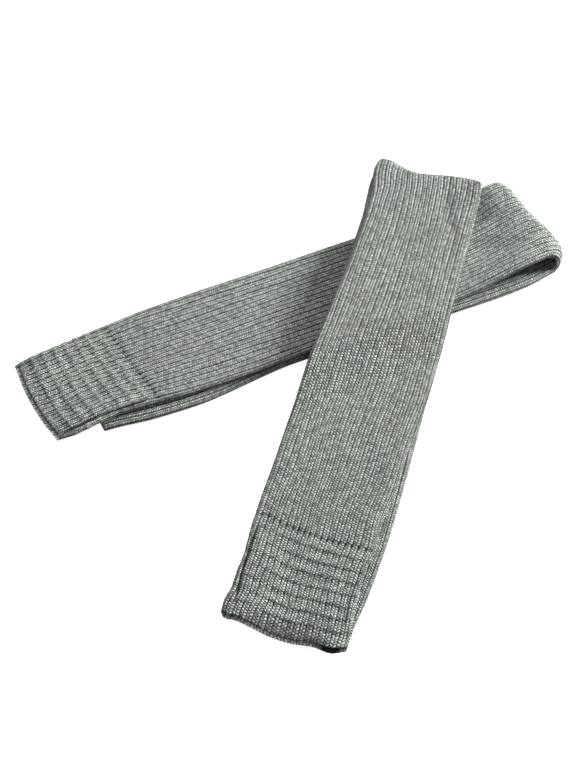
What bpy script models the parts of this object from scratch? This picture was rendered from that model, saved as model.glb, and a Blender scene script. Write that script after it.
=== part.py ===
"""Pair of rib-knit leg warmers, each pressed flat, folded once and laid across the other.

Each leg warmer is a tube of knit 0.9 m long and about 0.1 m wide when flat. It is folded
in half, so the half with the ankle cuff lies on the plain half. The over leg warmer lies
across the under one. Every piece is a real tube: a wall of knit all round a thin slit.

Metres, +Z up. The origin is under the middle of the pair, on the surface it lies on.
"""

import math
from collections import namedtuple

import bmesh
import bpy
import numpy as np

MM = 0.001
WALL = 2.6 * MM  # rib knit, from the face of a rib to the inside
SLIT = 1.0 * MM  # between the two walls of a tube that is pressed flat
RUN = 2 * WALL + SLIT  # thickness of a flattened tube
REST = 0.6 * MM  # air between one run and the run it lies on
LAID = 1.7 * MM  # air between the two warmers where they cross
SEAM = 0.3 * MM  # between a cuff and its tube
DROP_FROM, DROP_TO = 57 * MM, 106 * MM  # the over warmer comes down off the under one between these distances from its middle line
LIP = 1.0 * MM  # the lower wall of a cuff shows this far past the upper one
MOUTH_DEPTH = 10 * MM  # how far in from its edge a mouth stands open
BAND_PUFF = 0.7 * MM  # how far the knit stands up between two cross bands
EDGE_STEPS = 5  # facets round each long edge
FACE_STEPS = 6  # facets across each face

# Along is measured in mm from the seam towards the fold, across to the left of that way.
# In the tables of folds and hems, across is a share of the half width, from -1 to 1.
Lay = namedtuple("Lay", "along sway width")
Fold = namedtuple("Fold", "across reach loop start")
Hem = namedtuple("Hem", "across length gape")
Warmer = namedtuple("Warmer", "name x y heading cuff upper lower fold hem bands plain_end rests_from rests_to")

UNDER = Warmer(
    name="under",
    x=-134.153,
    y=13.14,
    heading=25.0,
    cuff=[Lay(-80, -4.4, 89.2), Lay(-60, -3.9, 89.4), Lay(-45, -2.4, 88.6), Lay(-30, -0.9, 88.4), Lay(-15, -0.3, 90), Lay(0, -0.3, 92.5)],
    upper=[Lay(0, -0.3, 93), Lay(25, -0.3, 97.5), Lay(50, -0.6, 99.5), Lay(150, -0.2, 99.5), Lay(230, -0.5, 99.5), Lay(275, -0.2, 99.5), Lay(335, 1.5, 99.5), Lay(358, 2.5, 101), Lay(380, 0.5, 100)],
    lower=[Lay(-42, -3.0, 95), Lay(0, -5.5, 100), Lay(45, -6.5, 101), Lay(80, -3, 101), Lay(110, -0.5, 100), Lay(200, -3, 101), Lay(270, -5.5, 101), Lay(340, -5, 101), Lay(380, 0.5, 100)],
    fold=[
        Fold(-1, 372, 11, 268),
        Fold(-0.9, 375.5, 11, 268),
        Fold(-0.43, 379, 10.5, 284),
        Fold(0, 376, 9.8, 300),
        Fold(0.35, 375, 9, 314),
        Fold(0.9, 373.5, 7.5, 328),
        Fold(1, 371.5, 7, 330),
    ],
    hem=[Hem(-1, 75.5, 0), Hem(-0.5, 79, 1.0), Hem(0.3, 81.5, 1.4), Hem(1, 80, 0)],
    bands=8,
    plain_end=-41,
    rests_from=-140,
    rests_to=-43,
)
OVER = Warmer(
    name="over",
    x=12.247,
    y=-157.06,
    heading=75.0,
    cuff=[Lay(-92, 0.9, 97.5), Lay(-77, 0.9, 97), Lay(-66, 0.3, 93), Lay(-45, 1.0, 91.6), Lay(-30, 0.7, 90.7), Lay(-15, 0.8, 92), Lay(0, 0.3, 94.5)],
    upper=[
        Lay(0, 0, 95),
        Lay(28, 0.4, 94.4),
        Lay(58, -1.2, 96.7),
        Lay(109, -2.0, 98.2),
        Lay(150, -4.2, 99.7),
        Lay(199, -5.8, 97.5),
        Lay(230, -6.8, 96.5),
        Lay(264, -7.2, 94.3),
        Lay(300, -7, 92),
        Lay(325, -6.8, 91.6),
        Lay(350, -5.7, 93.3),
        Lay(375, -3.7, 95.4),
        Lay(392, -1.2, 96.5),
        Lay(412, -1.0, 96),
    ],
    lower=[Lay(-74, 0.5, 94), Lay(-35, -2.5, 96), Lay(0, -4.5, 96.5), Lay(160, -5, 96.5), Lay(300, -5.5, 95), Lay(335, -4.7, 95), Lay(360, -1.5, 95), Lay(383, 0.4, 96), Lay(412, -1.0, 96)],
    fold=[
        Fold(-1, 387, 1.8, 345),
        Fold(-0.8, 390, 1.8, 345),
        Fold(-0.5, 393, 1.8, 345),
        Fold(-0.2, 395.5, 1.8, 345),
        Fold(0.2, 400.5, 2.0, 350),
        Fold(0.5, 406.5, 2.4, 355),
        Fold(0.83, 412.5, 2.6, 360),
        Fold(0.94, 411, 2.4, 360),
        Fold(1, 404, 2.2, 355),
    ],
    hem=[
        Hem(-1, 84, 0),
        Hem(-0.75, 87.5, 2.6),
        Hem(-0.5, 86, 1.0),
        Hem(-0.15, 87, 0.3),
        Hem(0.2, 85.5, 0.2),
        Hem(0.5, 82, 0.2),
        Hem(0.75, 79.5, 0.5),
        Hem(0.9, 79.5, 1.2),
        Hem(1, 76.5, 0),
    ],
    bands=8,
    plain_end=-72,
    rests_from=-104,
    rests_to=-74,
)


def read(rows, at, column):
    """A column of a table at any place between its rows, as a smooth curve through them."""
    xs = np.array([row[0] for row in rows], float)
    ys = np.array([getattr(row, column) for row in rows], float)
    at = np.clip(np.asarray(at, float), xs[0], xs[-1])
    slopes = np.gradient(ys, xs) if len(xs) > 2 else np.full(len(xs), (ys[-1] - ys[0]) / (xs[-1] - xs[0]))
    slopes[0] = slopes[-1] = 0.0
    i = np.clip(np.searchsorted(xs, at, side="right") - 1, 0, len(xs) - 2)
    span = xs[i + 1] - xs[i]
    t = (at - xs[i]) / span
    return (
        (2 * t**3 - 3 * t**2 + 1) * ys[i]
        + (t**3 - 2 * t**2 + t) * span * slopes[i]
        + (3 * t**2 - 2 * t**3) * ys[i + 1]
        + (t**3 - t**2) * span * slopes[i + 1]
    )


def ramp(x):
    """0 below 0, 1 above 1, and a soft curve between."""
    x = np.clip(x, 0.0, 1.0)
    return x * x * (3 - 2 * x)


def fold_at(warmer, across):
    """Where the middle line starts to turn, and the radius of the turn, in m."""
    loop = read(warmer.fold, across, "loop") * MM
    radius = (RUN + REST + loop) / 2
    return read(warmer.fold, across, "reach") * MM - RUN / 2 - radius, radius


def upper_height(warmer, along, across):
    """Height of the middle of the upper run over the surface that the warmer lies on."""
    turn, radius = fold_at(warmer, across)
    start = read(warmer.fold, across, "start") * MM
    carried = ramp((along - warmer.rests_from * MM) / ((warmer.rests_to - warmer.rests_from) * MM))
    opened = ramp((along - start) / (turn - start))
    return RUN / 2 + (RUN + REST) * carried + (2 * radius - RUN - REST) * opened


def middle_line(warmer, zone, f, across):
    """Along, height and outward direction of a round of the tube, with its sway and half width."""
    across = np.asarray(across, float)
    turn, radius = fold_at(warmer, across)
    if zone == "fold":
        angle = math.pi * (0.5 - f)
        along = turn + radius * math.cos(angle)
        height = RUN / 2 + radius + radius * math.sin(angle)
        out = (math.cos(angle) + 0 * along, math.sin(angle) + 0 * along)
        share = ramp(f)
        sway = (1 - share) * read(warmer.upper, turn / MM, "sway") + share * read(warmer.lower, turn / MM, "sway")
        width = (1 - share) * read(warmer.upper, turn / MM, "width") + share * read(warmer.lower, turn / MM, "width")
        return along, height, out, sway * MM, width * MM / 2
    if zone == "lower":
        along = turn + (warmer.plain_end * MM - turn) * f
        rows, height, out = warmer.lower, RUN / 2 + 0 * along, (0 * along, -1 + 0 * along)
    else:
        if zone == "upper":
            along = SEAM / 2 + (turn - SEAM / 2) * f
            rows = warmer.upper
        else:
            along = -SEAM / 2 - (read(warmer.hem, across, "length") * MM - SEAM / 2) * f
            rows = warmer.cuff
        step = 0.5 * MM
        slope = (upper_height(warmer, along + step, across) - upper_height(warmer, along - step, across)) / (2 * step)
        height = upper_height(warmer, along, across)
        size = np.sqrt(1 + slope**2)
        out = (-slope / size, 1 / size)
    return along, height, out, read(rows, along / MM, "sway") * MM, read(rows, along / MM, "width") * MM / 2


def flat_round(round_at, half, thick):
    """Across, depth and outward direction on a flattened tube's outline. round_at goes from 0 to 1
    round it, from the left edge over the top, and thick is half the tube's thickness."""
    straight = 2 * (half - thick)
    girth = 2 * straight + 2 * math.pi * thick
    q = round_at * girth
    quarter = math.pi * thick / 2
    top, edge, under = quarter + straight, 3 * quarter + straight, 3 * quarter + 2 * straight
    angle = np.where(
        q < quarter,
        q / thick,
        np.where(
            q < top,
            math.pi / 2,
            np.where(q < edge, math.pi / 2 + (q - top) / thick, np.where(q < under, 1.5 * math.pi, 1.5 * math.pi + (q - under) / thick)),
        ),
    )
    centre = np.where(
        q < quarter,
        half - thick,
        np.where(q < top, half - thick - (q - quarter), np.where(q < edge, thick - half, np.where(q < under, thick - half + (q - edge), half - thick))),
    )
    return centre + thick * np.cos(angle), thick * np.sin(angle), np.cos(angle), np.sin(angle)


def own_place(warmer, x, y):
    """Along and across of a point, measured on a warmer."""
    c, s = math.cos(math.radians(warmer.heading)), math.sin(math.radians(warmer.heading))
    dx, dy = x - warmer.x * MM, y - warmer.y * MM
    return dx * c + dy * s, dy * c - dx * s


def lift_over_under(x, y):
    """How far the over warmer is raised where it crosses the under one."""
    along, across = own_place(UNDER, x, y)
    top = upper_height(UNDER, along, np.clip(across / (51 * MM), -1, 1)) + RUN / 2 + LAID
    return top * (1 - ramp((np.abs(across) - DROP_FROM) / (DROP_TO - DROP_FROM)))


def round_points(warmer, zone, f, round_at, inside=False):
    """The points of one round of the tube, on its outer or its inner face."""
    thick = WALL + SLIT / 2
    half = middle_line(warmer, zone, f, np.zeros_like(round_at))[4]
    dn, dt, en, et = flat_round(round_at, half, thick)
    across = dn / half
    if inside:
        dn, dt = dn - WALL * en, dt - WALL * et
    along, height, out, sway, half = middle_line(warmer, zone, f, across)
    if zone == "cuff":
        upper_side = ramp(et * 2)
        if not inside:
            puff = BAND_PUFF * upper_side * (np.abs(math.sin(math.pi * warmer.bands * f)) ** 0.6 - 0.35)
            dn, dt = dn + puff * en, dt + puff * et
        length = read(warmer.hem, across, "length") * MM
        dt = dt + upper_side * read(warmer.hem, across, "gape") * MM * ramp(1 - (1 - f) * length / MOUTH_DEPTH)
        along = along - LIP * ramp((f - 0.93) / 0.07) * (1 - ramp(0.5 + et * 2))
    along, height = along + dt * out[0], height + dt * out[1]
    offset = sway + dn
    c, s = math.cos(math.radians(warmer.heading)), math.sin(math.radians(warmer.heading))
    x = warmer.x * MM + along * c - offset * s
    y = warmer.y * MM + along * s + offset * c
    if warmer is OVER:
        height = height + lift_over_under(x, y)
    return np.stack([x, y, height], axis=-1)


def ring_places():
    """Places round a flattened tube: close together on its two long edges, wide on its faces."""
    half, thick = 49 * MM, WALL + SLIT / 2
    straight, quarter = 2 * (half - thick), math.pi * thick / 2
    girth = 2 * straight + 4 * quarter
    marks = [quarter + straight * i / FACE_STEPS for i in range(FACE_STEPS)]
    marks += [quarter + straight + 2 * quarter * i / EDGE_STEPS for i in range(EDGE_STEPS)]
    marks += [m + girth / 2 for m in marks]
    return np.array(marks + [marks[0] + girth]) / girth


def make_tube(name, warmer, rounds, colour):
    """A closed wall of knit: a sheet of squares that goes down the outer face and back up the inner face."""
    places = ring_places()
    rows = [(zone, f, False) for zone, f in rounds] + [(zone, f, True) for zone, f in reversed(rounds)]
    rows.append(rows[0])
    mesh_data = bmesh.new()
    bmesh.ops.create_grid(mesh_data, x_segments=len(places) - 1, y_segments=len(rows) - 1, size=1.0)
    grid = [round_points(warmer, zone, f, places % 1.0, inside) for zone, f, inside in rows]
    for vert in mesh_data.verts:
        i = round((vert.co.x + 1) / 2 * (len(places) - 1))
        j = round((vert.co.y + 1) / 2 * (len(rows) - 1))
        vert.co = grid[j][i]
    bmesh.ops.remove_doubles(mesh_data, verts=mesh_data.verts, dist=1e-6)
    bmesh.ops.triangulate(mesh_data, faces=mesh_data.faces)
    bmesh.ops.recalc_face_normals(mesh_data, faces=mesh_data.faces)
    mesh = bpy.data.meshes.new(name)
    mesh_data.to_mesh(mesh)
    mesh_data.free()
    mesh.shade_smooth()
    knit = bpy.data.materials.new(name + "_knit")
    knit.use_nodes = True
    shader = knit.node_tree.nodes["Principled BSDF"]
    shader.inputs["Base Color"].default_value = colour
    shader.inputs["Roughness"].default_value = 0.95
    shader.inputs["Metallic"].default_value = 0.0
    mesh.materials.append(knit)
    piece = bpy.data.objects.new(name, mesh)
    bpy.context.scene.collection.objects.link(piece)
    return piece


def steps(zone, count, first=0.0, last=1.0, power=1.0):
    return [(zone, first + (last - first) * (i / count) ** power) for i in range(count + 1)]


for old in list(bpy.data.objects):
    bpy.data.objects.remove(old, do_unlink=True)

pair = bpy.data.objects.new("pair_of_leg_warmers", None)
bpy.context.scene.collection.objects.link(pair)
for warmer, upper_rounds, lower_rounds, turn_rounds in ((UNDER, 13, 8, 7), (OVER, 15, 11, 5)):
    leg = steps("upper", upper_rounds)[:-1] + steps("fold", turn_rounds) + steps("lower", lower_rounds)[1:]
    cuff = steps("cuff", 2 * warmer.bands)
    colour = (0.27, 0.30, 0.275, 1.0) if warmer is OVER else (0.25, 0.28, 0.255, 1.0)
    for part, rounds in (("leg_tube", leg), ("ankle_cuff", cuff)):
        make_tube(warmer.name + "_" + part, warmer, rounds, colour).parent = pair
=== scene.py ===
"""Looks of a pair of rib-knit leg warmers, each pressed flat, folded once and laid crossed.

The four pieces are knitted as fine closed walls on the forms of their solids: two leg tubes
and two ankle cuffs. Ribs, cross bands, eyelets and creases are shape, and stitches are bump.
Shade between stitches, in grooves, band creases, eyelets, slits and gaping mouths is painted
into the colour, and so is light on the rims of the mouths and on the cuffs. The over warmer's colour is
painted darker as shade.
"""

import math
from collections import namedtuple

import bmesh
import bpy
import numpy as np
from bpy.props import FloatProperty, FloatVectorProperty, PointerProperty
from bpy.types import Operator, Panel, PropertyGroup
from mathutils import Matrix, Vector


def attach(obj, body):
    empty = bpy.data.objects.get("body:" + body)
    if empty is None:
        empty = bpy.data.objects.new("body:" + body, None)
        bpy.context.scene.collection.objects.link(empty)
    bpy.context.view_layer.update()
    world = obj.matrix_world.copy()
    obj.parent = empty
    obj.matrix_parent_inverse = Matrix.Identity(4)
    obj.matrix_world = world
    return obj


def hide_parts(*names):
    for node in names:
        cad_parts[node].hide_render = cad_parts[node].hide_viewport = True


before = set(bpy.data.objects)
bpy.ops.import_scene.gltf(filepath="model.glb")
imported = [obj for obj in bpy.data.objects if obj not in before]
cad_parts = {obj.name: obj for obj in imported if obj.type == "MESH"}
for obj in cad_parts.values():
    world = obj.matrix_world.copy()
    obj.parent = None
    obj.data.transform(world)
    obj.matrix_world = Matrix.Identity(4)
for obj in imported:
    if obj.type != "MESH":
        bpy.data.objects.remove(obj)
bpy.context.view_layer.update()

bl_info = {
    "name": "Folded Leg Warmers",
    "version": (1, 0, 0),
    "blender": (4, 5, 0),
    "location": "3D View > Sidebar > Leg Warmers",
    "description": "Knits a pair of leg warmers that lie folded and crossed",
    "category": "Add Mesh",
}

MM = 0.001
WALL = 2.6 * MM  # rib knit, from the face of a rib to the inside
SLIT = 1.0 * MM  # between the two walls of a tube that is pressed flat
RUN = 2 * WALL + SLIT  # thickness of a flattened tube
REST = 0.6 * MM  # air between one run and the run it lies on
LAID = 1.7 * MM  # air between the two warmers where they cross
SEAM = 0.3 * MM  # between a cuff and its tube
DROP_FROM, DROP_TO = 57 * MM, 106 * MM  # the over warmer comes down off the under one
LIP = 3.4 * MM  # the lower wall of a cuff shows this far past the upper one
MOUTH_DEPTH = 10 * MM  # how far in from its edge a mouth stands open
MOUTH_THIN = 1.2 * MM  # how much thinner the wall is at a mouth
EDGE_AT_SEAM = 0.15 * MM  # roundness of the edges that meet at the seam
EDGE_AT_MOUTH = 0.7 * MM  # roundness of the edges of a mouth
RIM = 3 * MM  # width of the painted light on the rim of a mouth
DARK_GAPE = 1.5 * MM  # a mouth that gapes more than this gets painted shade inside, quite dark at twice this
LIP_FROM = 0.93  # share of a cuff's length past which its lower wall is drawn out into the lip
NARROW = 2.0  # a crease of less than this width, in mm, is a slit
SLIT_DARK = 1.5 * MM  # depth at which the painted shade of a slit is quite dark
SHOULDER = 1.2 * MM  # how far the upper face falls towards its edge on the right
CAMERA_PLACE = (-0.00661, -0.92646, 1.10446)
FLOOR_HEIGHT = -0.0002
KEY_PLACE = (1.56, 0.69, 0.57)
BACK_PLACE = (0.27, 0.99, 1.47)
FRONT_PLACE = (-0.5, -1.6, 0.35)
CAMERA_TILT = math.radians(40.0)  # from straight down
SENSOR = 36.0  # in mm
UNDER_BAND_RELIEF = 0.4  # the under cuff's bands stand up less than the over cuff's
LEFT_BANDS_FADE = 0.45  # the over cuff's bands are softer towards its left
EYELET_LENGTH = 1.5 * MM
EYELET_WIDTH = 0.26  # as a share of a rib
NEAR_SEAM = 13 * MM  # the stretch of a leg tube that has close rows, for its eyelets
NEAR_ROWS, UPPER_ROWS, FOLD_ROWS, LOWER_ROWS = 16, 104, 16, 64
BAND_ROWS = 12
LOWER_RIB_DEPTH = 0.8  # the ribs of a lower run are pressed by what lies on them
DISH_FADES_FROM, DISH_FADE = 320, 60  # in mm, where the dish of the upper face ends towards the fold
CUFF_PAINTED_LIGHT = 1.12  # painted light: the cuffs' colour is lighter than the leg tubes' to offset their darker shading
CUFF_MIDDLE = 0.6  # painted shade between a rib's two wales on the cuffs, against the leg tubes
RIB_PROFILE = (0.0, 0.06, 0.17, 0.33, 0.5, 0.67, 0.83, 0.94)  # places across a rib that get a point
MASKS = ("band", "dark", "ribbed", "mouth")  # painted shade in creases between bands, painted shade in holes and slits, painted shade in grooves, painted light on a mouth's rim

# Along is measured in mm from the seam towards the fold, across to the left of that way.
# In the tables of folds and hems, across is a share of the half width, from -1 to 1.
Lay = namedtuple("Lay", "along sway width")
Fold = namedtuple("Fold", "across reach loop start")
Hem = namedtuple("Hem", "across length gape")
Crease = namedtuple("Crease", "from_along from_across to_along to_across width depth")
Depth = namedtuple("Depth", "along ribs")
Warmer = namedtuple(
    "Warmer",
    "name x y heading ribs cuff upper lower fold hem bands plain_end rests_from rests_to creases depths",
)

UNDER = Warmer(
    name="under",
    x=-134.153,
    y=13.14,
    heading=25.0,
    ribs=41,
    cuff=[
        Lay(-80, -4.4, 89.2),
        Lay(-60, -3.9, 89.4),
        Lay(-45, -2.4, 88.6),
        Lay(-30, -0.9, 88.4),
        Lay(-15, -0.3, 90),
        Lay(0, -0.3, 92.5),
    ],
    upper=[
        Lay(0, -0.3, 93),
        Lay(25, -0.3, 97.5),
        Lay(50, -0.6, 99.5),
        Lay(150, -0.2, 99.5),
        Lay(230, -0.5, 99.5),
        Lay(275, -0.2, 99.5),
        Lay(335, 1.5, 99.5),
        Lay(358, 2.5, 101),
        Lay(380, 0.5, 100),
    ],
    lower=[
        Lay(-42, -3.0, 95),
        Lay(0, -5.5, 100),
        Lay(45, -6.5, 101),
        Lay(80, -3, 101),
        Lay(110, -0.5, 100),
        Lay(200, -3, 101),
        Lay(270, -5.5, 101),
        Lay(340, -5, 101),
        Lay(380, 0.5, 100),
    ],
    fold=[
        Fold(-1, 372, 11, 268),
        Fold(-0.9, 375.5, 11, 268),
        Fold(-0.43, 379, 10.5, 284),
        Fold(0, 376, 9.8, 300),
        Fold(0.35, 375, 9, 314),
        Fold(0.9, 373.5, 7.5, 328),
        Fold(1, 371.5, 7, 330),
    ],
    hem=[Hem(-1, 75.5, 0), Hem(-0.5, 79, 1.0), Hem(0.3, 81.5, 1.4), Hem(1, 80, 0)],
    bands=8,
    plain_end=-41,
    rests_from=-140,
    rests_to=-43,
    creases=[
        Crease(0, 14, 210, 17, 9, 0.9),
        Crease(20, -9, 180, -14, 7, 0.7),
        Crease(10, 37, 190, 39, 6, 0.7),
        Crease(40, -33, 200, -31, 6, 0.5),
        Crease(318, 25, 366, 8, 12, 1.3),
        Crease(300, -14, 360, -22, 9, 0.9),
        Crease(-66, 22, -8, 24, 7, 0.7),
        Crease(-70, -18, -12, -14, 8, 0.6),
        Crease(-81, -39.6, 8, -42.0, 1.3, 2.4),
    ],
    depths=[
        Depth(-80, 1.1),
        Depth(-5, 1.0),
        Depth(20, 0.8),
        Depth(80, 0.9),
        Depth(220, 1.0),
        Depth(330, 0.7),
        Depth(380, 0.6),
    ],
)
OVER = Warmer(
    name="over",
    x=12.247,
    y=-157.06,
    heading=75.0,
    ribs=41,
    cuff=[
        Lay(-92, 0.9, 97.5),
        Lay(-77, 0.9, 97),
        Lay(-66, 0.3, 93),
        Lay(-45, 1.0, 91.6),
        Lay(-30, 0.7, 90.7),
        Lay(-15, 0.8, 92),
        Lay(0, 0.3, 94.5),
    ],
    upper=[
        Lay(0, 0, 95),
        Lay(28, 0.4, 94.4),
        Lay(58, -1.2, 96.7),
        Lay(109, -2.0, 98.2),
        Lay(150, -4.2, 99.7),
        Lay(199, -5.8, 97.5),
        Lay(230, -6.8, 96.5),
        Lay(264, -7.2, 94.3),
        Lay(300, -7, 92),
        Lay(325, -6.8, 91.6),
        Lay(350, -5.7, 93.3),
        Lay(375, -3.7, 95.4),
        Lay(392, -1.2, 96.5),
        Lay(412, -1.0, 96),
    ],
    lower=[
        Lay(-74, 0.5, 94),
        Lay(-35, -2.5, 96),
        Lay(0, -4.5, 96.5),
        Lay(160, -5, 96.5),
        Lay(300, -5.5, 95),
        Lay(335, -4.7, 95),
        Lay(360, -1.5, 95),
        Lay(383, 0.4, 96),
        Lay(412, -1.0, 96),
    ],
    fold=[
        Fold(-1, 387, 1.8, 345),
        Fold(-0.8, 390, 1.8, 345),
        Fold(-0.5, 393, 1.8, 345),
        Fold(-0.2, 395.5, 1.8, 345),
        Fold(0.2, 400.5, 2.0, 350),
        Fold(0.5, 406.5, 2.4, 355),
        Fold(0.83, 412.5, 2.6, 360),
        Fold(0.94, 411, 2.4, 360),
        Fold(1, 404, 2.2, 355),
    ],
    hem=[
        Hem(-1, 84, 0),
        Hem(-0.75, 87.5, 4.2),
        Hem(-0.5, 86, 1.0),
        Hem(-0.15, 87, 0.3),
        Hem(0.2, 85.5, 0.2),
        Hem(0.5, 82, 0.2),
        Hem(0.75, 79.5, 0.5),
        Hem(0.9, 79.5, 1.2),
        Hem(1, 76.5, 0),
    ],
    bands=8,
    plain_end=-72,
    rests_from=-104,
    rests_to=-74,
    creases=[
        Crease(375, -17, 285, -35, 7, 1.6),
        Crease(295, -33, 225, -45, 6, 1.1),
        Crease(330, 12, 230, 4, 12, 0.6),
        Crease(190, 20, 120, 8, 10, 0.5),
        Crease(110, -22, 25, -28, 10, 0.6),
        Crease(80, 25, 20, 18, 9, 0.4),
        Crease(-76, 40.5, 6, 42.8, 1.0, 1.4),
        Crease(-80, -40, -2, -41, 1.0, 1.1),
        Crease(-70, 12, -10, 8, 9, 0.5),
    ],
    depths=[
        Depth(-90, 0.85),
        Depth(-5, 0.75),
        Depth(25, 0.45),
        Depth(60, 0.5),
        Depth(150, 0.6),
        Depth(210, 0.75),
        Depth(320, 0.85),
        Depth(412, 0.75),
    ],
)

# The row of eyelets where a cuff ends. It runs askew to the seam, and the cross bands follow it.
Eyelet = namedtuple("Eyelet", "across along")
EYELETS = {
    "over": [
        Eyelet(-1, -1.5),
        Eyelet(-0.78, -1.3),
        Eyelet(-0.2, 0.5),
        Eyelet(0.3, 3.7),
        Eyelet(0.75, 8.7),
        Eyelet(1, 10),
    ],
    "under": [Eyelet(-1, 7.5), Eyelet(-0.4, 4.0), Eyelet(0, 1.5), Eyelet(0.5, -1.5), Eyelet(1, -4.0)],
}

# Groove width is a share of a rib. Gap width is the height of a stitch, from 0 to 1, below which it gets
# painted shade. Dots is how much the stitches break up the painted shade of a groove.
Gaps = namedtuple("Gaps", "groove_width gap_width dots")
UNDER_GAPS = Gaps(0.26, 0.6, 0.25)
OVER_GAPS = Gaps(0.22, 0.85, 0.75)


def read(rows, at, column):
    """A column of a table at any place between its rows, as a smooth curve through them."""
    xs = np.array([row[0] for row in rows], float)
    ys = np.array([getattr(row, column) for row in rows], float)
    at = np.clip(np.asarray(at, float), xs[0], xs[-1])
    slopes = np.gradient(ys, xs) if len(xs) > 2 else np.full(len(xs), (ys[-1] - ys[0]) / (xs[-1] - xs[0]))
    slopes[0] = slopes[-1] = 0.0
    i = np.clip(np.searchsorted(xs, at, side="right") - 1, 0, len(xs) - 2)
    span = xs[i + 1] - xs[i]
    t = (at - xs[i]) / span
    return (
        (2 * t**3 - 3 * t**2 + 1) * ys[i]
        + (t**3 - 2 * t**2 + t) * span * slopes[i]
        + (3 * t**2 - 2 * t**3) * ys[i + 1]
        + (t**3 - t**2) * span * slopes[i + 1]
    )


def ramp(x):
    """0 below 0, 1 above 1, and a soft curve between."""
    x = np.clip(x, 0.0, 1.0)
    return x * x * (3 - 2 * x)


def fold_at(warmer, across):
    """Where the middle line starts to turn, and the radius of the turn, in m."""
    loop = read(warmer.fold, across, "loop") * MM
    radius = (RUN + REST + loop) / 2
    return read(warmer.fold, across, "reach") * MM - RUN / 2 - radius, radius


def upper_height(warmer, along, across):
    """Height of the middle of the upper run over the surface that the warmer lies on."""
    turn, radius = fold_at(warmer, across)
    start = read(warmer.fold, across, "start") * MM
    carried = ramp((along - warmer.rests_from * MM) / ((warmer.rests_to - warmer.rests_from) * MM))
    opened = ramp((along - start) / (turn - start))
    return RUN / 2 + (RUN + REST) * carried + (2 * radius - RUN - REST) * opened


def middle_line(warmer, zone, f, across):
    """Along, height and outward direction of a round of the tube, with its sway and half width."""
    across = np.asarray(across, float)
    turn, radius = fold_at(warmer, across)
    if zone == "fold":
        angle = math.pi * (0.5 - f)
        along = turn + radius * math.cos(angle)
        height = RUN / 2 + radius + radius * math.sin(angle)
        out = (math.cos(angle) + 0 * along, math.sin(angle) + 0 * along)
        share = ramp(f)
        at = turn / MM
        sway = (1 - share) * read(warmer.upper, at, "sway") + share * read(warmer.lower, at, "sway")
        width = (1 - share) * read(warmer.upper, at, "width") + share * read(warmer.lower, at, "width")
        return along, height, out, sway * MM, width * MM / 2
    if zone == "lower":
        along = turn + (warmer.plain_end * MM - turn) * f
        rows, height, out = warmer.lower, RUN / 2 + 0 * along, (0 * along, -1 + 0 * along)
    else:
        if zone == "upper":
            along = SEAM / 2 + (turn - SEAM / 2) * f
            rows = warmer.upper
        else:
            along = -SEAM / 2 - (read(warmer.hem, across, "length") * MM - SEAM / 2) * f
            rows = warmer.cuff
        step = 0.5 * MM
        rise = upper_height(warmer, along + step, across) - upper_height(warmer, along - step, across)
        slope = rise / (2 * step)
        height = upper_height(warmer, along, across)
        size = np.sqrt(1 + slope**2)
        out = (-slope / size, 1 / size)
    return along, height, out, read(rows, along / MM, "sway") * MM, read(rows, along / MM, "width") * MM / 2


def flat_round(round_at, half, thick):
    """Across, depth and outward direction on a flattened tube's outline. round_at goes from 0 to 1
    round it, from the left edge over the top, and thick is half the tube's thickness."""
    straight = 2 * (half - thick)
    girth = 2 * straight + 2 * math.pi * thick
    q = (round_at % 1.0) * girth
    quarter = math.pi * thick / 2
    top, edge, under = quarter + straight, 3 * quarter + straight, 3 * quarter + 2 * straight
    angle = np.select(
        [q < quarter, q < top, q < edge, q < under],
        [q / thick, math.pi / 2 + 0 * q, math.pi / 2 + (q - top) / thick, 1.5 * math.pi + 0 * q],
        1.5 * math.pi + (q - under) / thick,
    )
    flat = half - thick
    centre = np.select(
        [q < quarter, q < top, q < edge, q < under],
        [flat + 0 * q, flat - (q - quarter), -flat + 0 * q, (q - edge) - flat],
        flat,
    )
    return centre + thick * np.cos(angle), thick * np.sin(angle), np.cos(angle), np.sin(angle)


def own_place(warmer, x, y):
    """Along and across of a point, measured on a warmer."""
    c, s = math.cos(math.radians(warmer.heading)), math.sin(math.radians(warmer.heading))
    dx, dy = x - warmer.x * MM, y - warmer.y * MM
    return dx * c + dy * s, dy * c - dx * s


def lift_over_under(x, y):
    """How far the over warmer is raised where it crosses the under one."""
    along, across = own_place(UNDER, x, y)
    top = upper_height(UNDER, along, np.clip(across / (51 * MM), -1, 1)) + RUN / 2 + LAID
    return top * (1 - ramp((np.abs(across) - DROP_FROM) / (DROP_TO - DROP_FROM)))


def crease_depth(warmer, along, across):
    """Depth of the soft creases at a place on the upper face, in m."""
    depth = np.zeros(np.broadcast(along, across).shape)
    for crease in warmer.creases:
        start = np.array((crease.from_along, crease.from_across)) * MM
        way = np.array((crease.to_along, crease.to_across)) * MM - start
        size = np.hypot(*way)
        t = ((along - start[0]) * way[0] + (across - start[1]) * way[1]) / size**2
        aside = ((along - start[0]) * way[1] - (across - start[1]) * way[0]) / size
        wander = 0.35 * crease.width * MM * np.sin(9 * t + crease.from_across)
        ends = ramp((t + 0.02) / 0.22) * ramp((1.02 - t) / 0.3)
        depth = depth + crease.depth * MM * ends * np.exp(-(((aside + wander) / (crease.width * MM)) ** 2))
    return depth


def rib_wander(warmer, round_at, way):
    """How far the ribs drift sideways, in ribs. way is the distance along the cloth in m."""
    seed = 1.7 if warmer is OVER else 0.4
    turn = 2 * math.pi * round_at
    return (
        0.16 * np.sin(3 * turn + 17 * way + seed)
        + 0.06 * np.sin(7 * turn - 41 * way + 2 * seed)
        + 0.035 * np.sin(13 * turn + 85 * way + 3 * seed)
        + 0.02 * np.sin(23 * turn - 170 * way + seed)
    )


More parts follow.
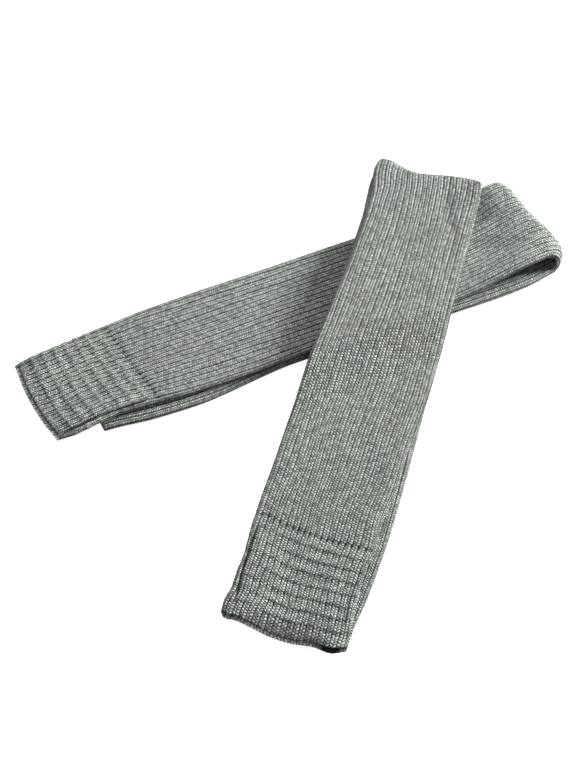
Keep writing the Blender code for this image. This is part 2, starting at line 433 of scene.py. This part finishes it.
def unevenness(warmer, round_at, way):
    """Soft rise and fall of the whole cloth, from -1 to 1."""
    seed = 0.9 if warmer is OVER else 2.3
    turn = 2 * math.pi * round_at
    return (
        0.45 * np.sin(2 * turn + 17 * way + seed)
        + 0.3 * np.sin(5 * turn - 36 * way + 2.1 * seed)
        + 0.25 * np.sin(9 * turn + 61 * way + 0.7 * seed)
    )


def rib_profile(phase):
    """Height across one rib, from 0 in its grooves to 1 on its two wales, with a faint dip between them."""
    return np.clip(np.sin(math.pi * phase), 0, 1) ** 0.5 - 0.3 * np.exp(-(((phase - 0.5) / 0.1) ** 2))


# One row of points round a tube. Pull is how far it is drawn back from that place, towards the middle of
# the piece, and inset how deep it lies in the wall, both in m.
Round = namedtuple("Round", "zone f pull inset")


def zone_length(warmer, zone, across):
    """Length of a zone of the middle line, in m."""
    if zone == "cuff":
        return read(warmer.hem, across, "length") * MM
    turn = fold_at(warmer, across)[0]
    return turn - warmer.plain_end * MM if zone == "lower" else turn


def painted_slit_shade(warmer, along, across):
    """Painted shade in the narrow creases near a cuff's edges, from 0 to 1."""
    slits = warmer._replace(creases=[crease for crease in warmer.creases if crease.width < NARROW])
    return ramp(crease_depth(slits, along, across) / SLIT_DARK)


def cross_bands(warmer, along, across, upper_side, knit):
    """Rise, crease mask and groove depth of the cross bands of a cuff at a place. The crease mask also
    carries the painted shade of the creases.
    """
    line = read(EYELETS[warmer.name], across, "along") * MM
    banded_length = line + read(warmer.hem, across, "length") * MM
    place = np.clip((line - along) / banded_length, 0, 1) * warmer.bands
    within = place % 1.0
    to_crease = np.abs(place - np.round(place)) * banded_length / warmer.bands
    share = 0.7 + 0.3 * upper_side
    if warmer is OVER:
        share = share * (1 - LEFT_BANDS_FADE * ramp((across - 0.1) / 0.6))
    relief = share * (UNDER_BAND_RELIEF if warmer is UNDER else 1.0)
    creased = (place > 0.4) & (place < warmer.bands - 0.3)
    band = relief * np.exp(-((to_crease / knit.band_width) ** 2)) * creased
    banded = ramp(place * 4)
    rise = knit.band_puff * (ramp(within / 0.8) - 0.45) * relief * banded - knit.band_crease * band
    groove = 1 + banded * (0.25 - knit.band_fill * share * ramp((within - 0.3) / 0.4))
    return rise, band, groove


def eyelet_row(warmer, along, across, phase):
    """1 in the middle of each eyelet, in the grooves between the ribs, and 0 away from them."""
    line = read(EYELETS[warmer.name], across, "along") * MM
    beside = np.abs((phase + 0.5) % 1.0 - 0.5) / EYELET_WIDTH
    return np.exp(-(((along - line) / EYELET_LENGTH) ** 2) - beside**2)


def soft_shape(warmer, along, across, round_at, way, knit):
    """How the upper face sinks in its middle, rises and falls, and turns down along its right edge."""
    flat = ramp(1 - (along / MM - DISH_FADES_FROM) / DISH_FADE)
    dished = -knit.dish * (1 - np.clip(across, -1, 1) ** 2) ** 2 * flat
    if warmer is OVER:
        dished = dished - SHOULDER * ramp((-across - 0.8) / 0.2)
    return dished + knit.unevenness * unevenness(warmer, round_at, way)


def knit_points(warmer, row, columns, way, knit):
    """One row of points, with their masks: painted shade in creases between bands, painted shade in
    eyelets, slits and gaping mouths, painted groove shade, and painted light on a mouth's rim.
    """
    wander = rib_wander(warmer, columns / warmer.ribs, way)
    round_at = ((columns - wander) / warmer.ribs) % 1.0
    phase = (columns + 0.5) % 1.0
    half = middle_line(warmer, row.zone, row.f, np.zeros_like(round_at))[4]
    dn, dt, en, et = flat_round(round_at, half, RUN / 2)
    across = dn / half
    upper_side, lower_side = ramp(et * 2), 1 - ramp(0.5 + et * 2)
    length = zone_length(warmer, row.zone, across)
    f = row.f
    if row.zone != "fold":
        f = np.clip(row.f - row.pull / length, 0, 1) if row.f > 0.5 else row.f + row.pull / length
    along, height, out, sway, half = middle_line(warmer, row.zone, f, across)
    face = 1 - row.inset / WALL  # 1 on the outer face and 0 on the inner one
    turn = 2 * math.pi * (columns - phase) / warmer.ribs
    depth = knit.rib_depth * read(warmer.depths, along / MM, "ribs")
    depth = depth * (1 + 0.22 * np.sin(15 * turn + 19 * way) + 0.12 * np.sin(11 * turn - 43 * way))
    if row.zone == "lower":
        depth = depth * LOWER_RIB_DEPTH
    rise, band, dark, mouth = (np.zeros_like(round_at) for _ in range(4))
    groove = np.ones_like(round_at)
    if row.zone in ("upper", "cuff"):
        rise, band, groove = cross_bands(warmer, along, across, upper_side, knit)
        # Painted shade in the eyelets.
        dark = upper_side * eyelet_row(warmer, along, across, phase)
        creased = crease_depth(warmer, along, dn)
        rise = rise - knit.eyelet_depth * dark
        rise = rise + upper_side * (soft_shape(warmer, along, across, round_at, way, knit) - creased)
    elif row.zone == "fold":
        rise = -upper_side * (1 - row.f) * crease_depth(warmer, along, dn)
    if row.zone == "cuff":
        to_mouth = (1 - f) * length
        gape = read(warmer.hem, across, "gape") * MM
        # Painted shade inside a gaping mouth and in the slits.
        inside = lower_side * (1 - face) * np.clip((gape - DARK_GAPE) / DARK_GAPE, 0, 1)
        dark = np.maximum(np.maximum(dark, upper_side * painted_slit_shade(warmer, along, dn)), inside)
        # Painted light on the rim of the lower wall at the mouth, where the lamps leave it in shade.
        mouth = lower_side * ramp(1 - to_mouth / RIM)
        rise = rise - MOUTH_THIN * ramp(1 - to_mouth / MOUTH_DEPTH)
    rise = face * (rise - depth * groove * (1 - rib_profile(phase)))
    dn, dt = dn + (rise - row.inset) * en, dt + (rise - row.inset) * et
    if row.zone == "cuff":
        dt = dt + upper_side * gape * ramp(1 - to_mouth / MOUTH_DEPTH)
        along = along - LIP * ramp((f - LIP_FROM) / (1 - LIP_FROM)) * lower_side
    along, height = along + dt * out[0], height + dt * out[1]
    offset = sway + dn
    c, s = math.cos(math.radians(warmer.heading)), math.sin(math.radians(warmer.heading))
    x = warmer.x * MM + along * c - offset * s
    y = warmer.y * MM + along * s + offset * c
    if warmer is OVER:
        height = height + lift_over_under(x, y)
    # How strongly the grooves get painted shade.
    ribbed = np.clip(read(warmer.depths, along / MM, "ribs") * groove, 0, 1.3)
    return np.stack([x, y, height], axis=-1), band * face, np.clip(dark, 0, 1), ribbed, mouth


def edge_rounds(zone, f, radius):
    """The rows that turn over a rounded edge of the wall, from its outer to its inner face."""
    quarter = [math.pi / 2 * i / 3 for i in range(4)]
    meet = SEAM / 2 if f < 0.5 else 0.0
    outer = [Round(zone, f, radius * (1 - math.sin(a)) - meet, radius * (1 - math.cos(a))) for a in quarter]
    inner = [row._replace(inset=WALL - row.inset) for row in reversed(outer)]
    if outer[-1].inset > inner[0].inset - 1e-6:
        inner = inner[1:]
    return outer + inner


def tube_rows(zones, first_edge, last_edge):
    """All rows of a closed wall: its outer face, one edge, its inner face and the other edge."""
    outer = [Round(zone, f, 0.0, 0.0) for zone, f in zones]
    inner = [row._replace(inset=WALL) for row in reversed(outer)][2::5]
    rows = outer + last_edge + inner + list(reversed(first_edge))
    return rows + rows[:1]


def leg_rows(warmer):
    """A leg tube goes from the seam over the fold to its plain end, with close rows at its eyelets."""
    near = NEAR_SEAM / float(fold_at(warmer, 0.0)[0])
    places = [("upper", near * i / NEAR_ROWS) for i in range(1, NEAR_ROWS)]
    places += [("upper", near + (1 - near) * i / UPPER_ROWS) for i in range(UPPER_ROWS + 1)]
    places += [("fold", i / FOLD_ROWS) for i in range(1, FOLD_ROWS + 1)]
    places += [("lower", i / LOWER_ROWS) for i in range(1, LOWER_ROWS)]
    return tube_rows(places, edge_rounds("upper", 0.0, EDGE_AT_SEAM), edge_rounds("lower", 1.0, WALL / 2))


def cuff_rows(warmer):
    """A cuff goes from the seam to its mouth, with the same number of rows to each band."""
    count = BAND_ROWS * warmer.bands
    places = [("cuff", i / count) for i in range(1, count - 1)]
    seam, mouth = edge_rounds("cuff", 0.0, EDGE_AT_SEAM), edge_rounds("cuff", 1.0, EDGE_AT_MOUTH)
    return tube_rows(places, seam, mouth)


def way_at(warmer, row):
    """Distance of a row from the seam along the cloth, in m. It is negative on the cuff."""
    turn, radius = (float(x) for x in fold_at(warmer, 0.0))
    if row.zone == "cuff":
        return -row.f * float(read(warmer.hem, 0.0, "length")) * MM
    if row.zone == "upper":
        return row.f * turn
    if row.zone == "fold":
        return turn + math.pi * radius * row.f
    return turn + math.pi * radius + (turn - warmer.plain_end * MM) * row.f


def knit_piece(name, warmer, rows, knit, material):
    """Builds one closed, double-faced wall of knit and sets its knit map and its masks."""
    count = warmer.ribs * len(RIB_PROFILE)
    phases = np.tile(RIB_PROFILE, warmer.ribs) + np.repeat(np.arange(warmer.ribs), len(RIB_PROFILE))
    columns = np.append(phases, warmer.ribs) - 0.5
    grid = bmesh.new()
    grid.loops.layers.uv.new("knit")
    bmesh.ops.create_grid(grid, x_segments=count, y_segments=len(rows) - 1, size=1.0, calc_uvs=True)
    mesh = bpy.data.meshes.new(name)
    grid.to_mesh(mesh)
    ways = [way_at(warmer, row) for row in rows]
    made = [knit_points(warmer, row, columns, way, knit) for row, way in zip(rows, ways)]
    places, *masks = (np.concatenate([row[i] for row in made]) for i in range(1 + len(MASKS)))
    mesh.vertices.foreach_set("co", places.astype(np.float32).ravel())
    for mask, values in zip(MASKS, masks):
        mesh.attributes.new(mask, "FLOAT", "POINT").data.foreach_set("value", values.astype(np.float32))
    uv = np.empty(2 * len(mesh.loops), np.float32)
    mesh.uv_layers[0].data.foreach_get("uv", uv)
    u = np.interp(uv[0::2], np.linspace(0, 1, count + 1), columns + 0.5)
    course = knit.over_course if warmer is OVER else knit.under_course
    v = np.interp(uv[1::2], np.linspace(0, 1, len(rows)), np.array(ways) / course)
    mesh.uv_layers[0].data.foreach_set("uv", np.stack([u, v], axis=1).astype(np.float32).ravel())
    grid.clear()
    grid.from_mesh(mesh)
    bmesh.ops.remove_doubles(grid, verts=grid.verts, dist=1e-6)
    bmesh.ops.recalc_face_normals(grid, faces=grid.faces)
    grid.to_mesh(mesh)
    grid.free()
    mesh.shade_smooth()
    mesh.materials.append(material)
    piece = bpy.data.objects.new(name, mesh)
    bpy.context.scene.collection.objects.link(piece)
    return piece


class Nodes:
    """Short ways to add and link the nodes of one tree."""

    def __init__(self, tree):
        self.tree = tree
        self.column = 0

    def add(self, kind, inputs=None, **settings):
        node = self.tree.nodes.new(kind)
        self.column += 1
        node.location = (160 * (self.column % 12), -180 * (self.column // 12))
        for key, value in settings.items():
            setattr(node, key, value)
        for key, value in (inputs or {}).items():
            if isinstance(value, bpy.types.NodeSocket):
                self.tree.links.new(value, node.inputs[key])
            else:
                node.inputs[key].default_value = value
        return node

    def math(self, operation, *values, clamp=False):
        inputs = dict(enumerate(values))
        return self.add("ShaderNodeMath", inputs, operation=operation, use_clamp=clamp).outputs[0]

    def soft_step(self, value, low, high, to_low=0.0, to_high=1.0):
        inputs = {"Value": value, "From Min": low, "From Max": high, "To Min": to_low, "To Max": to_high}
        return self.add("ShaderNodeMapRange", inputs, interpolation_type="SMOOTHSTEP").outputs[0]


def new_group(name, inputs, outputs):
    tree = bpy.data.node_groups.new(name, "ShaderNodeTree")
    for label, kind, default in inputs:
        socket = tree.interface.new_socket(label, in_out="INPUT", socket_type=kind)
        if default is not None:
            socket.default_value = default
    for label, kind in outputs:
        tree.interface.new_socket(label, in_out="OUTPUT", socket_type=kind)
    return tree


def rib_stitches_group():
    """Shape of the stitches, with masks for the painted shade between them and in the grooves. Each rib
    has two wales of slanted stitches, half a course apart, between two deep grooves and beside a shallow
    one."""
    name = "rib_stitches"
    if name in bpy.data.node_groups:
        return bpy.data.node_groups[name]
    tree = new_group(
        name,
        [
            ("Knit Map", "NodeSocketVector", None),
            ("Slant", "NodeSocketFloat", 0.5),
            ("Groove Width", "NodeSocketFloat", 0.15),
            ("Middle Width", "NodeSocketFloat", 0.12),
            ("Dots", "NodeSocketFloat", 0.5),
        ],
        [
            ("Height", "NodeSocketFloat"),
            ("Stitch", "NodeSocketFloat"),
            ("Groove", "NodeSocketFloat"),
            ("Middle", "NodeSocketFloat"),
            ("Random", "NodeSocketFloat"),
        ],
    )
    n = Nodes(tree)
    given = n.add("NodeGroupInput")
    split = n.add("ShaderNodeSeparateXYZ", {0: given.outputs["Knit Map"]})
    ribs, courses = split.outputs["X"], split.outputs["Y"]
    waver = n.add("ShaderNodeTexNoise", {"Vector": given.outputs["Knit Map"], "Scale": 0.3, "Detail": 2.0})
    courses = n.math("MULTIPLY_ADD", waver.outputs[0], 1.2, courses)
    wales = n.math("MULTIPLY", ribs, 2.0)
    wale = n.math("FLOOR", wales)
    off_centre = n.math("SUBTRACT", n.math("FRACT", wales), 0.5)
    side = n.math("MULTIPLY_ADD", n.math("FLOORED_MODULO", wale, 2.0), -2.0, 1.0)
    slanted = n.math("MULTIPLY_ADD", n.math("MULTIPLY", off_centre, side), given.outputs["Slant"], courses)
    slanted = n.math("MULTIPLY_ADD", wale, 0.5, slanted)
    loop = n.math("SINE", n.math("MULTIPLY", n.math("FRACT", slanted), math.pi))
    leg = n.math("COSINE", n.math("MULTIPLY", off_centre, math.pi))
    stitch = n.math("MULTIPLY", n.math("POWER", loop, 0.9), n.math("POWER", leg, 0.6))
    place = n.math("ABSOLUTE", n.math("SUBTRACT", n.math("FRACT", ribs), 0.5))
    groove = n.soft_step(n.math("SUBTRACT", 0.5, place), 0.0, given.outputs["Groove Width"], 1.0, 0.0)
    dotted = n.math("SUBTRACT", 1.0, n.math("MULTIPLY", loop, given.outputs["Dots"]))
    middle = n.soft_step(place, 0.0, given.outputs["Middle Width"], 1.0, 0.0)
    cell = n.add("ShaderNodeCombineXYZ", {"X": wale, "Y": n.math("FLOOR", slanted)})
    random = n.add("ShaderNodeTexWhiteNoise", {"Vector": cell.outputs[0]}, noise_dimensions="3D")
    height = n.math("MULTIPLY_ADD", groove, -0.4, stitch)
    made = {
        "Height": height,
        "Stitch": stitch,
        "Groove": n.math("MULTIPLY", groove, dotted),
        "Middle": middle,
        "Random": random.outputs[0],
    }
    n.add("NodeGroupOutput", made)
    return tree


def wool_fibres_group():
    """Fuzz of single fibres and a slow drift of tone over the cloth."""
    name = "wool_fibres"
    if name in bpy.data.node_groups:
        return bpy.data.node_groups[name]
    tree = new_group(
        name,
        [("Vector", "NodeSocketVector", None), ("Fineness", "NodeSocketFloat", 900.0)],
        [("Fuzz", "NodeSocketFloat"), ("Drift", "NodeSocketFloat")],
    )
    n = Nodes(tree)
    given = n.add("NodeGroupInput")
    fuzz = n.add(
        "ShaderNodeTexNoise",
        {
            "Vector": given.outputs["Vector"],
            "Scale": given.outputs["Fineness"],
            "Detail": 3.0,
            "Roughness": 0.65,
        },
    )
    drift = n.add("ShaderNodeTexNoise", {"Vector": given.outputs["Vector"], "Scale": 38.0, "Detail": 3.0})
    n.add("NodeGroupOutput", {"Fuzz": fuzz.outputs[0], "Drift": drift.outputs[0]})
    return tree


def knit_material(name, knit, colour, gaps, middle_shade):
    """Wool yarn on the knit map, with painted shade between stitches, in grooves and in every hole and
    slit, and painted light on the rim of a mouth.
    """
    if name in bpy.data.materials:
        return bpy.data.materials[name]
    material = bpy.data.materials.new(name)
    material.use_nodes = True
    tree = material.node_tree
    n = Nodes(tree)
    shader = tree.nodes["Principled BSDF"]
    knit_map = n.add("ShaderNodeUVMap", uv_map="knit").outputs[0]
    place = n.add("ShaderNodeTexCoord").outputs["Object"]
    stitches = n.add("ShaderNodeGroup", node_tree=rib_stitches_group())
    tree.links.new(knit_map, stitches.inputs["Knit Map"])
    stitches.inputs["Groove Width"].default_value = gaps.groove_width
    stitches.inputs["Dots"].default_value = gaps.dots
    fibres = n.add("ShaderNodeGroup", {"Vector": place}, node_tree=wool_fibres_group())
    band, dark, ribbed, mouth = (
        n.add("ShaderNodeAttribute", attribute_name=mask).outputs["Fac"] for mask in MASKS
    )
    # Painted shade in the gaps between stitches, deeper near the grooves.
    gap = n.soft_step(stitches.outputs["Stitch"], 0.0, gaps.gap_width, knit.stitch_shade, 0.0)
    gap = n.math("MULTIPLY", gap, n.math("MULTIPLY_ADD", stitches.outputs["Groove"], 0.5, 0.7), clamp=True)
    tone = n.math("SUBTRACT", 1.0, gap)
    # Painted shade in the grooves between ribs and in the shallow groove inside each rib.
    for mask, shade in (("Groove", knit.groove_shade), ("Middle", middle_shade)):
        darker = n.math("MULTIPLY", n.math("MULTIPLY", stitches.outputs[mask], ribbed), shade)
        tone = n.math("MULTIPLY", tone, n.math("SUBTRACT", 1.0, darker, clamp=True))
    for source, spread in (
        (stitches.outputs["Random"], 0.85),
        (fibres.outputs["Fuzz"], 1.3),
        (fibres.outputs["Drift"], 0.25),
    ):
        tone = n.math("MULTIPLY", tone, n.math("MULTIPLY_ADD", source, spread, 1 - spread / 2))
    # Painted shade in the creases between bands.
    tone = n.math("MULTIPLY", tone, n.math("MULTIPLY_ADD", band, -knit.band_shade, 1.0))
    # Painted shade in eyelets, slits and gaping mouths.
    tone = n.math("MULTIPLY", tone, n.math("MULTIPLY_ADD", dark, -0.9, 1.0, clamp=True))
    # Painted light on the rim of a mouth.
    tone = n.math("MULTIPLY", tone, n.math("MULTIPLY_ADD", mouth, knit.rim_painted_light, 1.0))
    yarn = n.add("ShaderNodeVectorMath", {0: colour, 3: tone}, operation="SCALE")
    tree.links.new(yarn.outputs[0], shader.inputs["Base Color"])
    height = n.math("ADD", stitches.outputs["Height"], n.math("MULTIPLY", fibres.outputs["Fuzz"], 0.5))
    bump = n.add("ShaderNodeBump", {"Height": height, "Distance": knit.stitch_height, "Strength": 1.0})
    tree.links.new(bump.outputs[0], shader.inputs["Normal"])
    roughness = n.math("MULTIPLY_ADD", fibres.outputs["Fuzz"], 0.2, 0.78)
    tree.links.new(roughness, shader.inputs["Roughness"])
    shader.inputs["Metallic"].default_value = 0.0
    shader.inputs["Specular IOR Level"].default_value = 0.25
    shader.inputs["Sheen Weight"].default_value = 0.25
    shader.inputs["Sheen Roughness"].default_value = 0.5
    shader.inputs["Sheen Tint"].default_value = (0.9, 0.95, 0.9, 1.0)
    return material


class LegWarmerKnit(PropertyGroup):
    """Sizes and colours of the knit."""

    rib_depth: FloatProperty(
        name="Rib Depth",
        description="Depth of the grooves between ribs",
        default=0.95 * MM,
        unit="LENGTH",
    )
    band_width: FloatProperty(
        name="Band Width",
        description="Half width of the crease between two bands of a cuff",
        default=0.8 * MM,
        unit="LENGTH",
    )
    band_puff: FloatProperty(
        name="Band Puff",
        description="How far each band of a cuff stands up at its end",
        default=0.4 * MM,
        unit="LENGTH",
    )
    band_crease: FloatProperty(
        name="Band Crease",
        description="Depth of the crease between two bands",
        default=0.15 * MM,
        unit="LENGTH",
    )
    band_fill: FloatProperty(
        name="Band Fill",
        description="How much of a groove is filled at the end of each band",
        default=0.95,
        subtype="FACTOR",
    )
    # Painted shade in the crease between two bands.
    band_shade: FloatProperty(
        name="Band Shade",
        description="How dark the crease between two bands is",
        default=0.18,
        subtype="FACTOR",
    )
    eyelet_depth: FloatProperty(
        name="Eyelet Depth",
        description="Depth of the holes beside the seam",
        default=1.4 * MM,
        unit="LENGTH",
    )
    dish: FloatProperty(
        name="Dish",
        description="How far the upper face sinks in its middle",
        default=1.2 * MM,
        unit="LENGTH",
    )
    unevenness: FloatProperty(
        name="Unevenness",
        description="Soft rise and fall of the upper face",
        default=0.35 * MM,
        unit="LENGTH",
    )
    under_course: FloatProperty(
        name="Under Course",
        description="Height of one row of stitches on the warmer below",
        default=2.0 * MM,
        unit="LENGTH",
    )
    over_course: FloatProperty(
        name="Over Course",
        description="Height of one row of stitches on the warmer on top",
        default=2.3 * MM,
        unit="LENGTH",
    )
    stitch_height: FloatProperty(
        name="Stitch Height",
        description="Relief of single stitches",
        default=1.0 * MM,
        unit="LENGTH",
    )
    # Painted shade in the gaps between stitches.
    stitch_shade: FloatProperty(
        name="Stitch Shade",
        description="How dark the gaps between stitches are",
        default=0.9,
        subtype="FACTOR",
    )
    # Painted light on the rim of a mouth, where the lamps leave it in shade.
    rim_painted_light: FloatProperty(
        name="Mouth Light",
        description="How much lighter the worn rim of a mouth is",
        default=0.75,
        subtype="FACTOR",
    )
    # Painted shade in the grooves between ribs.
    groove_shade: FloatProperty(
        name="Groove Shade",
        description="How dark the grooves between ribs are",
        default=0.75,
        subtype="FACTOR",
    )
    # Painted shade in the shallow groove inside a rib.
    middle_shade: FloatProperty(
        name="Middle Shade",
        description="How dark the shallow groove inside a rib is",
        default=0.4,
        subtype="FACTOR",
    )
    # Set darker than the under colour as painted shade, against the light falling more strongly on the
    # warmer on top.
    over_colour_with_painted_shade: FloatVectorProperty(
        name="Over Colour",
        description="Yarn of the warmer on top",
        default=(0.45, 0.49, 0.445),
        subtype="COLOR",
    )
    under_colour: FloatVectorProperty(
        name="Under Colour",
        description="Yarn of the warmer below",
        default=(0.5, 0.545, 0.495),
        subtype="COLOR",
    )


class LegWarmerStage(PropertyGroup):
    """Sizes, light and colours of the studio."""

    floor_white: FloatProperty(
        name="Floor White",
        description="Tone of the paper as seen",
        default=0.9,
        subtype="FACTOR",
    )
    floor_bounce: FloatProperty(
        name="Floor Bounce",
        description="Light that the paper throws back",
        default=0.35,
        subtype="FACTOR",
    )
    floor_glow: FloatProperty(
        name="Floor Glow",
        description="Light that shines through the paper",
        default=0.9,
    )
    key_strength: FloatProperty(
        name="Key Strength",
        description="Power of the low light on the right",
        default=54.0,
        unit="POWER",
    )
    key_size: FloatProperty(
        name="Key Size",
        description="Width of the low light on the right",
        default=0.45,
        unit="LENGTH",
    )
    back_strength: FloatProperty(
        name="Back Strength",
        description="Power of the high light behind",
        default=14.0,
        unit="POWER",
    )
    back_size: FloatProperty(
        name="Back Size",
        description="Width of the high light",
        default=1.2,
        unit="LENGTH",
    )
    front_strength: FloatProperty(
        name="Front Strength",
        description="Power of the low light in front",
        default=1.0,
        unit="POWER",
    )
    front_size: FloatProperty(
        name="Front Size",
        description="Width of the low light in front",
        default=1.0,
        unit="LENGTH",
    )
    fill_strength: FloatProperty(
        name="Fill Strength",
        description="Light from all round",
        default=0.2,
    )
    camera_lens: FloatProperty(
        name="Lens",
        description="Focal length",
        default=84.375,
        unit="CAMERA",
    )


def yarns(knit):
    """Each warmer with the colour of its yarn, which holds painted shade on the over warmer, and the gaps
    of its knit.
    """
    return (UNDER, knit.under_colour, UNDER_GAPS), (OVER, knit.over_colour_with_painted_shade, OVER_GAPS)


class LEGWARMERS_OT_leg_tubes(Operator):
    """Knit the two leg tubes, each folded over its own plain end."""

    bl_idname = "leg_warmers.leg_tubes"
    bl_label = "Knit Leg Tubes"

    def execute(self, context):
        knit = context.scene.leg_warmer_knit
        for warmer, colour, gaps in yarns(knit):
            material = knit_material(warmer.name + "_rib_knit", knit, colour, gaps, knit.middle_shade)
            piece = knit_piece(warmer.name + "_rib_tube", warmer, leg_rows(warmer), knit, material)
            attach(piece, "root")
            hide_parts(warmer.name + "_leg_tube")
            girth = 2 * float(read(warmer.upper, 200, "width")) * MM
            last = way_at(warmer, Round("lower", 1.0, 0.0, 0.0))
        return {"FINISHED"}


class LEGWARMERS_OT_ankle_cuffs(Operator):
    """Knit the two ankle cuffs with their cross bands."""

    bl_idname = "leg_warmers.ankle_cuffs"
    bl_label = "Knit Ankle Cuffs"

    def execute(self, context):
        knit = context.scene.leg_warmer_knit
        for warmer, colour, gaps in yarns(knit):
            # The cuffs get a lighter copy of the yarn colour as painted light.
            colour = [CUFF_PAINTED_LIGHT * part for part in colour]
            middle_shade = CUFF_MIDDLE * knit.middle_shade
            material = knit_material(warmer.name + "_cuff_knit", knit, colour, gaps, middle_shade)
            piece = knit_piece(warmer.name + "_banded_cuff", warmer, cuff_rows(warmer), knit, material)
            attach(piece, "root")
            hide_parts(warmer.name + "_ankle_cuff")
            girth = 2 * float(read(warmer.cuff, -40, "width")) * MM
            last = -way_at(warmer, Round("cuff", 1.0, 0.0, 0.0))
        return {"FINISHED"}


class LEGWARMERS_OT_studio(Operator):
    """Lay the paper floor and set the lights and the camera."""

    bl_idname = "leg_warmers.studio"
    bl_label = "Set Studio"

    def execute(self, context):
        stage = context.scene.leg_warmer_stage
        grid = bmesh.new()
        bmesh.ops.create_grid(grid, x_segments=2, y_segments=2, size=6.0)
        mesh = bpy.data.meshes.new("floor")
        grid.to_mesh(mesh)
        grid.free()
        mesh.transform(Matrix.Translation((0.0, 0.0, FLOOR_HEIGHT)))
        floor = bpy.data.objects.new("floor", mesh)
        context.scene.collection.objects.link(floor)
        paper = bpy.data.materials.new("studio_paper")
        paper.use_nodes = True
        n = Nodes(paper.node_tree)
        seen = n.add("ShaderNodeLightPath").outputs["Is Camera Ray"]
        shader = paper.node_tree.nodes["Principled BSDF"]
        tone = n.math("MULTIPLY_ADD", seen, stage.floor_white - stage.floor_bounce, stage.floor_bounce)
        paper.node_tree.links.new(tone, shader.inputs["Base Color"])
        glow = n.math("MULTIPLY", seen, stage.floor_glow)
        paper.node_tree.links.new(glow, shader.inputs["Emission Strength"])
        shader.inputs["Emission Color"].default_value = (1.0, 1.0, 1.0, 1.0)
        shader.inputs["Roughness"].default_value = 0.9
        shader.inputs["Specular IOR Level"].default_value = 0.0
        mesh.materials.append(paper)
        context.scene.view_settings.view_transform = "Standard"
        world = bpy.data.worlds.new("studio_fill")
        world.use_nodes = True
        n = Nodes(world.node_tree)
        seen = n.add("ShaderNodeLightPath").outputs["Is Camera Ray"]
        strength = n.math("MULTIPLY_ADD", seen, 1.0 - stage.fill_strength, stage.fill_strength)
        background = world.node_tree.nodes["Background"]
        background.inputs["Color"].default_value = (1.0, 1.0, 1.0, 1.0)
        world.node_tree.links.new(strength, background.inputs["Strength"])
        context.scene.world = world
        for name, place, power, size in (
            ("key", KEY_PLACE, stage.key_strength, stage.key_size),
            ("back", BACK_PLACE, stage.back_strength, stage.back_size),
            ("front", FRONT_PLACE, stage.front_strength, stage.front_size),
        ):
            lamp = bpy.data.lights.new(name, "AREA")
            lamp.shape = "DISK"
            lamp.size = size
            lamp.energy = power
            light = bpy.data.objects.new(name, lamp)
            light.location = place
            light.rotation_euler = (-Vector(place)).to_track_quat("-Z", "Y").to_euler()
            context.scene.collection.objects.link(light)
        camera = bpy.data.cameras.new("camera")
        camera.lens = stage.camera_lens
        camera.sensor_width = SENSOR
        viewer = bpy.data.objects.new("camera", camera)
        viewer.location = CAMERA_PLACE
        viewer.rotation_euler = (CAMERA_TILT, 0.0, 0.0)
        context.scene.collection.objects.link(viewer)
        context.scene.camera = viewer
        return {"FINISHED"}


class VIEW3D_PT_leg_warmers(Panel):
    """Lists the steps that make the pair and its studio."""

    bl_label = "Leg Warmers"
    bl_space_type = "VIEW_3D"
    bl_region_type = "UI"
    bl_category = "Leg Warmers"

    def draw(self, context):
        for step in STEPS:
            self.layout.operator(step.bl_idname)
        for settings in (context.scene.leg_warmer_knit, context.scene.leg_warmer_stage):
            box = self.layout.box()
            for name in settings.__annotations__:
                box.prop(settings, name)


STEPS = (LEGWARMERS_OT_studio, LEGWARMERS_OT_leg_tubes, LEGWARMERS_OT_ankle_cuffs)
CLASSES = (LegWarmerKnit, LegWarmerStage, *STEPS, VIEW3D_PT_leg_warmers)


def register():
    for cls in CLASSES:
        bpy.utils.register_class(cls)
    bpy.types.Scene.leg_warmer_knit = PointerProperty(type=LegWarmerKnit)
    bpy.types.Scene.leg_warmer_stage = PointerProperty(type=LegWarmerStage)


def unregister():
    del bpy.types.Scene.leg_warmer_stage
    del bpy.types.Scene.leg_warmer_knit
    for cls in reversed(CLASSES):
        bpy.utils.unregister_class(cls)


def main():
    register()
    bpy.ops.leg_warmers.studio()
    bpy.ops.leg_warmers.leg_tubes()
    bpy.ops.leg_warmers.ankle_cuffs()


if __name__ == "__main__":
    main()
